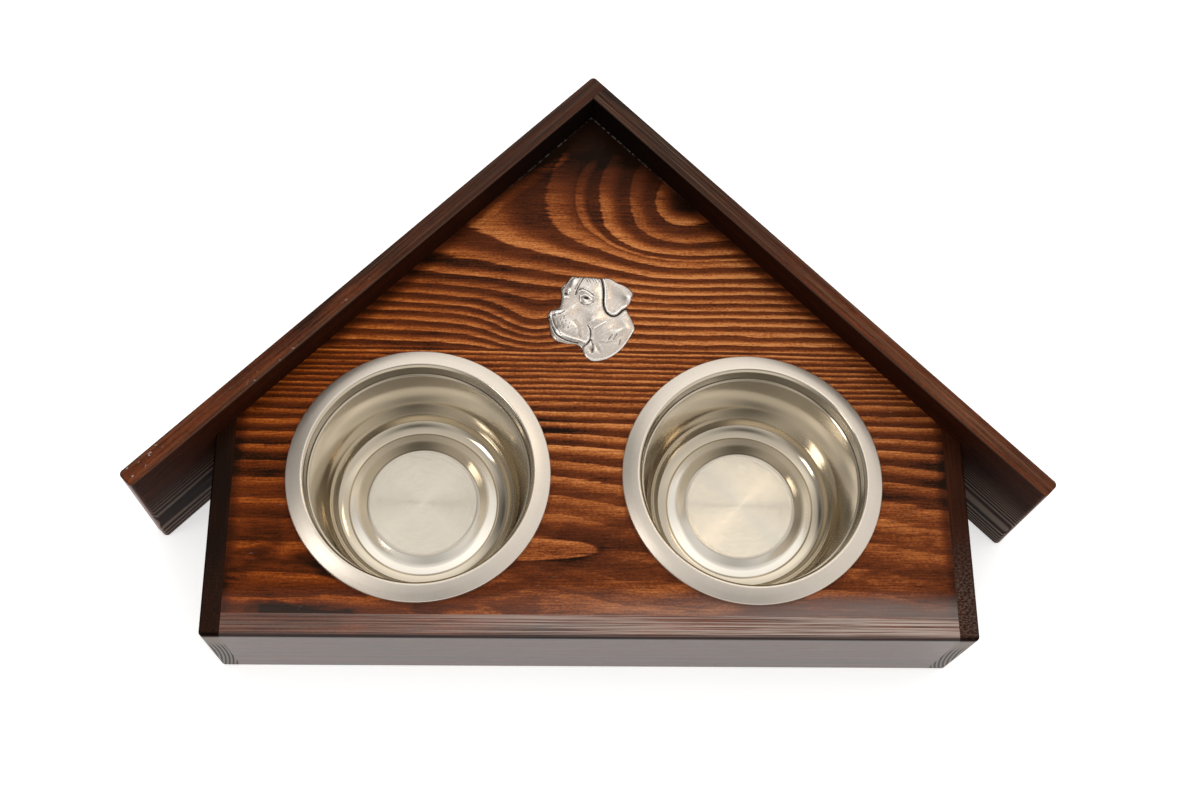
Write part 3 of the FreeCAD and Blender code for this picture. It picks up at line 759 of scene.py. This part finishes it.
# fittings under the panel: planed battens, beech dowels and zinc screws
batten = {
    "tones": [(0.0, (0.52, 0.33, 0.17)), (0.6, (0.42, 0.24, 0.11)), (1.0, (0.27, 0.13, 0.05))],
    "wander": ((12, 12, 60), 2, 0.5),
    "ringGap": 0.0022,
    "fibre": ((260, 260, 900), 3, 0.6),
    "bump": (0.2, 0.0004),
}
dowel = {
    "tones": ((0.52, 0.33, 0.19), (0.68, 0.48, 0.3)),
    "fleck": ((300, 900, 900), 3, 0.6),
    "bump": (0.15, 0.0003),
}
screw = {
    "tones": ((0.5, 0.5, 0.48), (0.72, 0.72, 0.7)),
    "cloud": ((700, 700, 700), 3, 0.6),
    "bump": (0.1, 0.0002),
}


def battenLook():
    material, shader, place = newLook("plainPine")
    ways = place.axes()
    x, y, z = ways
    wander = place.noise(ways, *batten["wander"]) - 0.5
    ring = ((z + (x + y) * 0.15 + wander * 0.006) / batten["ringGap"]).part().rise(0.2, 0.95)
    fibre = place.noise(ways, *batten["fibre"])
    colour = (ring * 0.7 + fibre * 0.3).ramp(batten["tones"])
    plug(shader, Base_Color=colour, Roughness=0.5 + 0.2 * fibre, Normal=fibre.bump(*batten["bump"]))
    for name in nodes:
        if name.endswith("_batten"):
            dress(name, material)


def dowelLook():
    material, shader, place = newLook("beechDowel")
    fleck = place.noise(place.axes(), *dowel["fleck"])
    colour = place.mix(fleck, *dowel["tones"])
    plug(shader, Base_Color=colour, Roughness=0.45 + 0.2 * fleck, Normal=fleck.bump(*dowel["bump"]))
    dress("corner_dowels", material)
    dress("ridge_dowels", material)


def screwLook():
    material, shader, place = newLook("zincScrew")
    cloud = place.noise(place.axes(), *screw["cloud"])
    colour = place.mix(cloud, *screw["tones"])
    roughness = 0.28 + 0.25 * cloud
    plug(shader, Base_Color=colour, Metallic=1.0, Roughness=roughness, Normal=cloud.bump(*screw["bump"]))
    dress("panel_screws", material)


rearPanelLook(rearFigure)
frontPanelLook(frontFigure)
frontBoardLook(frontBoard)
for name, values in sideBoards.items():
    sideBoardLook(name, values)
for name, values in roofBoards.items():
    roofBoardLook(name, values)
battenLook()
dowelLook()
screwLook()
print("wood ready")


# bowls: pressed steel, satin rim, polished wall, satin disc; radius and height above the panel in mm
bowl = {
    "segments": 192,
    "thick": 0.8,
    "stepLength": 0.9,  # between the rings of the mesh on the curves
    "stepTurn": 0.12,
    # each corner with its rounding
    "profile": [
        (80.0, 0.05, 0), (80.0, 2.9, 1.2), (75.0, 4.9, 30), (69.9, 6.5, 1.6), (68.2, 4.6, 1.0),
        (67.5, -4.2, 0.7), (66.2, -5.0, 0.5), (63.9, -23.0, 80), (61.4, -42.0, 40), (58.3, -52.4, 20),
        (53.4, -57.2, 14), (47.8, -58.6, 0.8), (46.6, -58.2, 0.6), (41.4, -57.7, 14), (36.0, -55.9, 2.0),
        (34.8, -55.7, 0.8), (33.9, -55.9, 0.6), (0.0, -55.7, 0)],
    "rimTone": (0.74, 0.67, 0.59),
    # the neck is painted darker: painted shade under the rim
    "neckShadeTone": (0.36, 0.32, 0.26),
    "wallTone": (0.60, 0.53, 0.425),
    # the trough is painted brighter than the wall: a painted highlight for its glare
    "troughGlareTone": (0.90, 0.85, 0.765),
    "discTone": (0.69, 0.64, 0.555),
    "discEdgeTone": (0.54, 0.49, 0.42),
    "tarnish": (0.86, 0.85, 0.83),
    "tarnishFrom": (0.2, 0.9),
    "rimRoughness": 0.36,
    "wallRoughness": 0.12,
    "troughRoughness": 0.16,
    "discRoughness": 0.22,
    # noises: scales, then detail and roughness
    "ringLines": ((1.2, 1.2, 5.5), 4, 0.7),
    "rayLines": ((130, 130, 0.15), 3, 0.6),
    "cloud": ((38, 38, 38), 3, 0.6),
    "bump": (0.5, 0.0002),
    # where each zone begins and ends
    "rimRadius": (69.4, 70.4),
    "rimHeight": (-1.0, 0.0),
    "neckRadius": (69.2, 69.8),
    "neckHeight": (-4.6, -3.8, 3.4, 4.8),
    "troughRadius": (46.4, 47.2),
    "troughHeight": (-52, -48),
    "discRadius": (34.0, 34.8),
    "discEdgeRadius": (33.4, 34.2, 35.6, 36.4),
    "discHeight": (-50, -45),
}


def roundedProfile(corners):
    # straight runs with their corners turned into arcs, cut into short steps
    path = [Vector(corners[0][:2])]
    for i in range(1, len(corners) - 1):
        before, corner, after = [Vector(corners[k][:2]) for k in (i - 1, i, i + 1)]
        inward = (before - corner).normalized()
        outward = (after - corner).normalized()
        half = inward.angle(outward) / 2
        room = min((before - corner).length, (after - corner).length) * 0.49
        reach = min(corners[i][2] / math.tan(half), room)
        radius = reach * math.tan(half)
        centre = corner + (inward + outward).normalized() * (radius / math.sin(half))
        start = corner + inward * reach
        sweep = (start - centre).angle_signed(corner + outward * reach - centre)
        count = max(2, int(abs(sweep) * radius / bowl["stepLength"]), int(abs(sweep) / bowl["stepTurn"]))
        for k in range(count + 1):
            path.append(centre + Matrix.Rotation(-sweep * k / count, 2) @ (start - centre))
    path.append(Vector(corners[-1][:2]))
    return path


def bowlPiece(name, centre, material):
    path = roundedProfile(bowl["profile"])
    bpy.ops.object.select_all(action="DESELECT")
    place = (centre.x, centre.y, panelTop + path[0].y * mm)
    bpy.ops.mesh.primitive_circle_add(vertices=bowl["segments"], radius=path[0].x * mm, location=place)
    piece = bpy.context.object
    piece.name = name
    bpy.ops.object.mode_set(mode="EDIT")
    bpy.ops.mesh.select_all(action="SELECT")
    for last, point in zip(path[:-1], path[1:-1]):
        # one more ring, drawn in or out and moved to its height
        bpy.ops.mesh.extrude_edges_move()
        share = point.x / last.x
        bpy.ops.transform.resize(value=(share, share, 1), center_override=place)
        bpy.ops.transform.translate(value=(0, 0, (point.y - last.y) * mm))
    bpy.ops.mesh.extrude_edges_move()
    bpy.ops.mesh.merge(type="CENTER")
    bpy.ops.mesh.select_all(action="SELECT")
    bpy.ops.mesh.normals_make_consistent(inside=False)
    bpy.ops.object.mode_set(mode="OBJECT")
    bpy.ops.object.transform_apply(location=True, rotation=True, scale=True)
    shell = piece.modifiers.new("steelSheet", "SOLIDIFY")
    shell.thickness = bowl["thick"] * mm
    shell.offset = -1
    bpy.ops.object.modifier_apply(modifier=shell.name)
    bpy.ops.object.shade_smooth_by_angle(angle=math.radians(40))
    piece.data.materials.append(material)
    return piece


def bowlLook(name, centre):
    material, shader, place = newLook(name)
    x, y, z = place.axes()
    dx = x - centre.x
    dy = y - centre.y
    radius = (dx.squared() + dy.squared()).root() * 1000
    height = (z - panelTop) * 1000
    around = [dx / (radius * mm), dy / (radius * mm)]
    rim = radius.rise(*bowl["rimRadius"]) * height.rise(*bowl["rimHeight"])
    neck = radius.fall(*bowl["neckRadius"]) * height.between(*bowl["neckHeight"])
    trough = radius.fall(*bowl["troughRadius"]) * height.fall(*bowl["troughHeight"])
    disc = radius.fall(*bowl["discRadius"]) * height.fall(*bowl["discHeight"])
    discEdge = radius.between(*bowl["discEdgeRadius"]) * height.fall(*bowl["discHeight"])
    colour = place.mix(rim, bowl["wallTone"], bowl["rimTone"])
    # painted highlight: the trough is painted brighter
    colour = place.mix(trough, colour, bowl["troughGlareTone"])
    colour = place.mix(disc, colour, bowl["discTone"])
    # painted shade: the neck is painted darker
    colour = place.mix(neck, colour, bowl["neckShadeTone"])
    colour = place.mix(discEdge, colour, bowl["discEdgeTone"])
    # turning marks run round the bowl, brushing runs out over the rim
    ringLines = place.noise([*around, radius + height], *bowl["ringLines"])
    rayLines = place.noise([*around, radius], *bowl["rayLines"])
    cloud = place.noise((x, y, z), *bowl["cloud"])
    bright = ringLines * 0.5 + rayLines * rim * 0.35 + cloud * 0.4
    colour = place.multiply(bright.fall(*bowl["tarnishFrom"]), colour, bowl["tarnish"])
    rough = bowl["wallRoughness"] + rim * (bowl["rimRoughness"] - bowl["wallRoughness"])
    rough = rough + trough * (bowl["troughRoughness"] - bowl["wallRoughness"])
    rough = rough + disc * (bowl["discRoughness"] - bowl["troughRoughness"])
    rough = rough + 0.06 * (cloud - 0.5) + 0.05 * (ringLines - 0.5)
    lines = ringLines * (0.03 + 0.13 * rim + 0.9 * disc) + rayLines * rim * 0.08
    plug(shader, Base_Color=colour, Metallic=1.0, Roughness=rough, Normal=lines.bump(*bowl["bump"]))
    return material


for name in ("left_bowl", "right_bowl"):
    low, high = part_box(name)
    centre = (low + high) / 2
    piece = bowlPiece(name + "_steel", centre, bowlLook(name + "Steel", centre))
    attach(piece, name)
    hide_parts(name)
print("bowls ready")


# badge: a dog's head in low relief, cast in pewter; points in mm
badge = {
    "rays": 420,
    "rings": 110,
    "heart": (2.0, 0.0),
    "plate": 1.15,  # height of the ground that the forms stand on
    "lowest": 0.4,
    "highest": 4.4,
    # from the rubbed faces to the patina in the hollows
    "tones": [
        (0.24, (0.90, 0.87, 0.83)), (0.48, (0.50, 0.445, 0.40)), (0.60, (0.50, 0.445, 0.40)),
        (0.88, (0.06, 0.05, 0.042))],
    "dullFrom": (0.4, 0.9),
    # noises: scales, then detail and roughness
    "cloud": ((170, 170, 170), 4, 0.65),
    "grit": ((1500, 1500, 1500), 2, 0.6),
    "hair": ((260, 1300, 600), 3, 0.6),
    "bump": (0.18, 0.0003),
    # reach round a point and its weight, to tell hollows from rises
    "hollowReach": ((0.6, 1.15), (2.2, 0.5)),
    "outline": [
        (-10.2, 30.4), (-12.9, 29.6), (-14.9, 26.6), (-16.6, 25.0), (-18.3, 22.8), (-19.5, 20.4),
        (-18.9, 17.4), (-19.0, 14.0), (-19.2, 11.1), (-20.1, 8.4), (-22.9, 6.6), (-26.0, 5.8),
        (-27.9, 2.8), (-27.7, 0.3), (-26.5, -2.1), (-26.9, -4.5), (-25.9, -8.4), (-25.1, -12.4),
        (-22.4, -15.6), (-18.3, -16.4), (-14.7, -17.5), (-11.1, -17.0), (-7.5, -18.5), (-5.8, -20.2),
        (-4.8, -24.1), (-2.5, -27.2), (0.7, -28.7), (5.6, -28.5), (11.5, -26.5), (17.0, -22.6),
        (21.5, -17.7), (25.1, -11.9), (28.0, -6.6), (27.4, -3.1), (25.6, 1.3), (23.7, 5.2),
        (22.6, 7.7), (25.6, 11.6), (27.4, 16.0), (27.5, 18.9), (25.1, 21.8), (21.5, 24.3),
        (17.4, 25.7), (13.3, 28.7), (10.2, 29.4), (6.6, 28.9), (0.7, 29.6), (-3.9, 29.7), (-7.5, 29.6)],
    "earEdge": [
        (6.6, 28.9), (7.7, 24.8), (8.4, 19.9), (8.4, 15.0), (8.0, 11.1), (8.5, 7.2), (10.2, 3.8),
        (13.3, 2.0), (16.1, 2.5), (18.3, 4.7), (20.1, 6.7), (22.6, 7.7)],
}


def smoothLine(points, closed, rounds=2):
    # cuts the corners of a line until it runs smoothly
    line = [Vector(p) for p in points]
    for _ in range(rounds):
        pairs = list(zip(line, line[1:] + line[:1])) if closed else list(zip(line, line[1:]))
        cut = [a.lerp(b, share) for a, b in pairs for share in (0.25, 0.75)]
        line = cut if closed else [line[0]] + cut + [line[-1]]
    return line


def lineDistance(x, y, line):
    near = np.full(x.shape, 1e9)
    for a, b in zip(line, line[1:]):
        step = b - a
        share = ((x - a.x) * step.x + (y - a.y) * step.y) / max(step.length_squared, 1e-9)
        share = np.clip(share, 0, 1)
        near = np.minimum(near, np.hypot(x - a.x - share * step.x, y - a.y - share * step.y))
    return near


def insideOf(x, y, line):
    within = np.zeros(x.shape, bool)
    for a, b in zip(line, line[1:] + line[:1]):
        if a.y != b.y:
            crosses = (a.y > y) != (b.y > y)
            within ^= crosses & (x < (b.x - a.x) * (y - a.y) / (b.y - a.y) + a.x)
    return within


def hump(x, y, place, reach, lean=0):
    c = math.cos(math.radians(lean))
    s = math.sin(math.radians(lean))
    dx = x - place[0]
    dy = y - place[1]
    return np.exp(-((dx * c + dy * s) / reach[0]) ** 2 - ((dy * c - dx * s) / reach[1]) ** 2)


def ridge(x, y, points, width):
    return np.exp(-(lineDistance(x, y, smoothLine(points, False, 1)) / width) ** 2)


headLine = smoothLine(badge["outline"], True, 1)
earLine = smoothLine(badge["earEdge"], False)
# the outline closes the ear, from the lower end of its edge round to the upper one
earStart = badge["outline"].index(badge["earEdge"][-1])
earEnd = badge["outline"].index(badge["earEdge"][0])
earTip = [Vector(p) for p in badge["outline"][earStart:earEnd + 1]]
# raised and sunk forms: place, reach and lean of a hump, with its height
headHumps = [
    ((-1, 20), (9, 9), 0, 1.7),  # forehead
    ((2, 3), (7, 8), 0, 1.5),  # cheek
    ((1.2, -1.6), (3.4, 2.2), 30, 0.5),
    ((-14, -5), (8.5, 8.0), 20, 2.1),  # muzzle
    ((-13, 6.5), (8.0, 3.6), 35, 0.9),  # bridge of the nose
    ((-21.5, 3.6), (4.6, 2.4), 10, 1.1),  # nose
    ((-26.2, 2.2), (1.8, 2.6), 0, 0.9),
    ((-26.6, 0.6), (0.8, 1.1), 0, -0.9),  # nostrils
    ((-23.6, 1.9), (0.9, 0.6), 20, -0.8),
    ((-3.3, 12.8), (4.6, 3.8), -20, -1.3),  # near eye
    ((-3.4, 12.4), (2.3, 2.0), 0, 1.2),
    ((-3.0, 14.0), (1.5, 0.9), -20, -0.8),
    ((-1.6, 10.0), (3.2, 1.2), 10, 0.6),
    ((-15.9, 17.3), (1.5, 1.4), 0, -0.55),  # far eye
    ((-14.2, 18.8), (1.4, 1.5), 0, 0.8),
    ((-16.3, 15.0), (2.0, 0.8), -20, 0.6),
    ((-11.0, 24.5), (2.4, 5.0), -25, 1.2),  # far brow
    ((14.5, 16), (5.0, 8.0), 15, -1.6),  # hollow of the ear
    ((24.2, 14.0), (2.6, 3.6), 30, 1.8),
    ((0.0, -20.9), (1.5, 1.8), 0, -0.5),  # throat
    ((4.0, -20.0), (1.2, 3.2), 25, -0.4),
    ((17.4, -8.0), (4.0, 1.8), 30, 0.5),
    ((10, -10), (9, 8), 20, 1.3),  # neck
    ((22, -4), (3.0, 5.0), 20, 0.6),
]
# creases and rims: the line they follow, with width and height
headLines = [
    ([(-4.3, 29.4), (-6.6, 24.8), (-8.8, 20.4), (-9.9, 16.5)], 0.42, -0.45),  # stop
    ([(-5.8, 28.8), (-8.0, 24.2), (-10.2, 20.0)], 0.5, -0.3),
    ([(-13.8, 28.6), (-16.1, 23.3), (-18.6, 20.2)], 0.42, -0.5),  # far ear
    ([(-11.2, 30.0), (-14.2, 26.2), (-16.8, 22.6)], 0.7, 0.35),
    ([(-7.9, 19.4), (-5.7, 20.6), (-2.5, 19.1), (1.8, 15.7)], 0.4, -0.4),  # brow
    ([(-7.6, 18.2), (-5.4, 19.3), (-2.4, 17.8), (1.2, 15.0)], 0.7, 0.35),
    ([(-6.4, 15.2), (-3.9, 16.2), (-1.1, 14.8), (0.4, 13.0)], 0.5, 0.4),  # lids
    ([(-6.9, 15.4), (-6.8, 11.4)], 0.5, 0.35),
    ([(-6.6, 11.1), (-4.3, 9.2), (-1.1, 9.3), (1.4, 11.2)], 0.45, -0.35),
    ([(-23.6, 3.4), (-20.4, 1.8), (-17.0, 4.4)], 0.42, -0.45),  # nose wing
    ([(-24.9, 4.0), (-24.0, -2.6), (-22.2, -7.0), (-19.2, -11.2)], 0.4, -0.35),  # upper lip
    ([(-24.6, -6.0), (-22.6, -10.8), (-19.0, -13.7), (-13.8, -15.9), (-8.4, -16.6)], 0.45, -0.5),  # mouth
    ([(-21.6, -8.6), (-17.6, -12.2), (-12.4, -14.0), (-6.6, -15.2), (-3.4, -16.6)], 1.0, 0.5),
    ([(-2.8, -17.6), (-1.2, -15.6), (-0.4, -12.0), (-0.6, -7.4), (-2.0, -5.0)], 0.45, -0.45),  # flew
    ([(-10.0, -2.0), (-7.2, -7.0), (-7.0, -12.0)], 1.0, -0.3),
    ([(-5.2, -19.6), (-0.4, -14.4)], 0.6, -0.4),
    ([(-0.2, -14.3), (1.2, -18.2), (0.4, -23.0)], 0.5, -0.35),
    ([(1.8, -7.2), (6.5, -4.0), (9.4, -2.4)], 0.7, 0.35),
    ([(11.0, -14.4), (13.4, -11.2)], 0.4, -0.3),  # folds of the neck
    ([(14.0, -14.2), (16.3, -10.6)], 0.4, -0.3),
    ([(17.6, -17.4), (18.4, -14.4)], 0.4, -0.25),
    ([(5.0, -10.0), (10.0, -9.0), (14.0, -5.5)], 0.6, -0.12),
    ([(5.0, -16.0), (12.0, -17.0), (18.6, -11.4)], 0.6, -0.12),
    ([(-3.9, -24.4), (-2.0, -26.6), (0.9, -28.0), (5.5, -27.8), (11.2, -25.9), (16.6, -22.1),
      (21.0, -17.3), (24.5, -11.6), (27.2, -6.7)], 0.55, 0.45),  # rim of the neck
]
# small pits of the whiskers, and short cuts for the hair on the forehead
whiskers = [
    (-17.4, -0.6), (-16.1, -2.6), (-18.8, -4.1), (-21.5, -3.6), (-13.8, -4.1), (-17.4, 0.9), (-14.7, -7.0),
    (-19.6, -1.4), (-18.0, -6.8)]
foreheadHair = [(-2.6, 27.0), (-0.6, 26.2), (1.4, 27.4), (3.2, 26.6), (5.0, 27.6)]


def headHeight(x, y):
    # height of the relief above the panel in mm
    height = np.full(x.shape, badge["plate"])
    # the head stands a little higher than the neck
    neck = 1 / (1 + np.exp((y + 9 - (x - 6) * 0.5) * 0.5))
    height += 0.5 * (1 - neck)
    for place, reach, lean, rise in headHumps:
        height += rise * hump(x, y, place, reach, lean)
    for points, width, rise in headLines:
        height += rise * ridge(x, y, points, width)
    for place in whiskers:
        height -= 0.3 * hump(x, y, place, (0.65, 0.35), 60)
    for px, py in foreheadHair:
        height -= 0.28 * ridge(x, y, [(px - 0.8, py + 2.4), (px - 0.3, py), (px + 0.5, py - 1.6)], 0.32)
    # the ear lies on the head, with a thick edge and a groove beside it
    ear = lineDistance(x, y, earLine)
    onEar = insideOf(x, y, earLine + earTip)
    height = np.where(onEar, height * 0.5 + 1.8 + 0.45 * np.exp(-((ear - 0.8) / 0.7) ** 2), height)
    height -= 0.6 * np.exp(-(ear / np.where(onEar, 0.3, 0.7)) ** 2)
    return np.clip(height, badge["lowest"], badge["highest"])


def hollowShare(x, y):
    # how far the surroundings stand above each point, near and a little further off
    hollow = np.full(x.shape, 0.5)
    turns = np.arange(8) * math.pi / 4
    for reach, gain in badge["hollowReach"]:
        around = [headHeight(x + reach * math.cos(a), y + reach * math.sin(a)) for a in turns]
        hollow += (sum(around) / len(turns) - headHeight(x, y)) * gain
    return np.clip(hollow, 0, 1)


def badgePiece(material):
    low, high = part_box("dog_badge")
    outlineX, outlineY = zip(*badge["outline"])
    centreX = (low.x + high.x) / 2 - (min(outlineX) + max(outlineX)) / 2 * mm
    centreY = (low.y + high.y) / 2 - (min(outlineY) + max(outlineY)) / 2 * mm
    # a grid bent round the heart: one way along the outline, the other from the heart out to it
    bpy.ops.object.select_all(action="DESELECT")
    bpy.ops.mesh.primitive_grid_add(x_subdivisions=badge["rays"], y_subdivisions=badge["rings"], size=2)
    piece = bpy.context.object
    piece.name = "dog_badge_relief"
    spots = np.empty(len(piece.data.vertices) * 3)
    piece.data.vertices.foreach_get("co", spots)
    spots = spots.reshape(-1, 3)
    edge = np.array([p[:] for p in headLine + headLine[:1]])
    run = np.concatenate([[0], np.cumsum(np.hypot(*np.diff(edge, axis=0).T))])
    along = (spots[:, 0] + 1) / 2 * run[-1]
    reach = 1 - ((1 - spots[:, 1]) / 2) ** 1.3  # closer rings towards the edge
    x = badge["heart"][0] + reach * (np.interp(along, run, edge[:, 0]) - badge["heart"][0])
    y = badge["heart"][1] + reach * (np.interp(along, run, edge[:, 1]) - badge["heart"][1])
    # the edge rounds down to the panel
    z = headHeight(x, y) * np.sqrt(np.clip(1 - reach ** 16, 0, 1))
    spots = np.stack([centreX + x * mm, centreY + y * mm, panelTop + z * mm], 1)
    piece.data.vertices.foreach_set("co", spots.ravel())
    bpy.ops.object.mode_set(mode="EDIT")
    bpy.ops.mesh.select_all(action="SELECT")
    bpy.ops.mesh.remove_doubles(threshold=1e-6)
    bpy.ops.mesh.select_all(action="DESELECT")
    bpy.ops.mesh.select_non_manifold()
    bpy.ops.mesh.edge_face_add()  # the back, flat on the panel
    bpy.ops.mesh.select_all(action="SELECT")
    bpy.ops.mesh.normals_make_consistent(inside=False)
    bpy.ops.object.mode_set(mode="OBJECT")
    bpy.ops.object.shade_smooth_by_angle(angle=math.radians(60))
    # the merge left fewer points, so their places are read again
    spots = np.empty(len(piece.data.vertices) * 3)
    piece.data.vertices.foreach_get("co", spots)
    spots = spots.reshape(-1, 3)
    hollow = hollowShare((spots[:, 0] - centreX) / mm, (spots[:, 1] - centreY) / mm)
    attribute = piece.data.attributes.new("hollow", "FLOAT", "POINT")
    attribute.data.foreach_set("value", hollow.astype(np.float32))
    piece.data.materials.append(material)
    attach(piece, "stand")
    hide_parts("dog_badge")


def pewterLook():
    # bright where rubbed, dark where the patina stays in the hollows
    material, shader, place = newLook("castPewter")
    ways = place.axes()
    x, y, z = ways
    cloud = place.noise(ways, *badge["cloud"])
    grit = place.noise(ways, *badge["grit"])
    hair = place.noise((x + y, y - x, z), *badge["hair"])
    hollow = place.node("ShaderNodeAttribute", {"attribute_name": "hollow"}, None, "Fac")
    patina = hollow + (cloud - 0.5) * 0.3 + (grit - 0.5) * 0.3 + (hair - 0.5) * 0.5
    roughness = 0.24 + 0.3 * patina.rise(*badge["dullFrom"])
    height = grit * 0.4 + cloud * 0.8 + hair * 0.9
    colour = patina.ramp(badge["tones"])
    plug(shader, Base_Color=colour, Metallic=1.0, Roughness=roughness, Normal=height.bump(*badge["bump"]))
    return material


badgePiece(pewterLook())
print("badge ready")
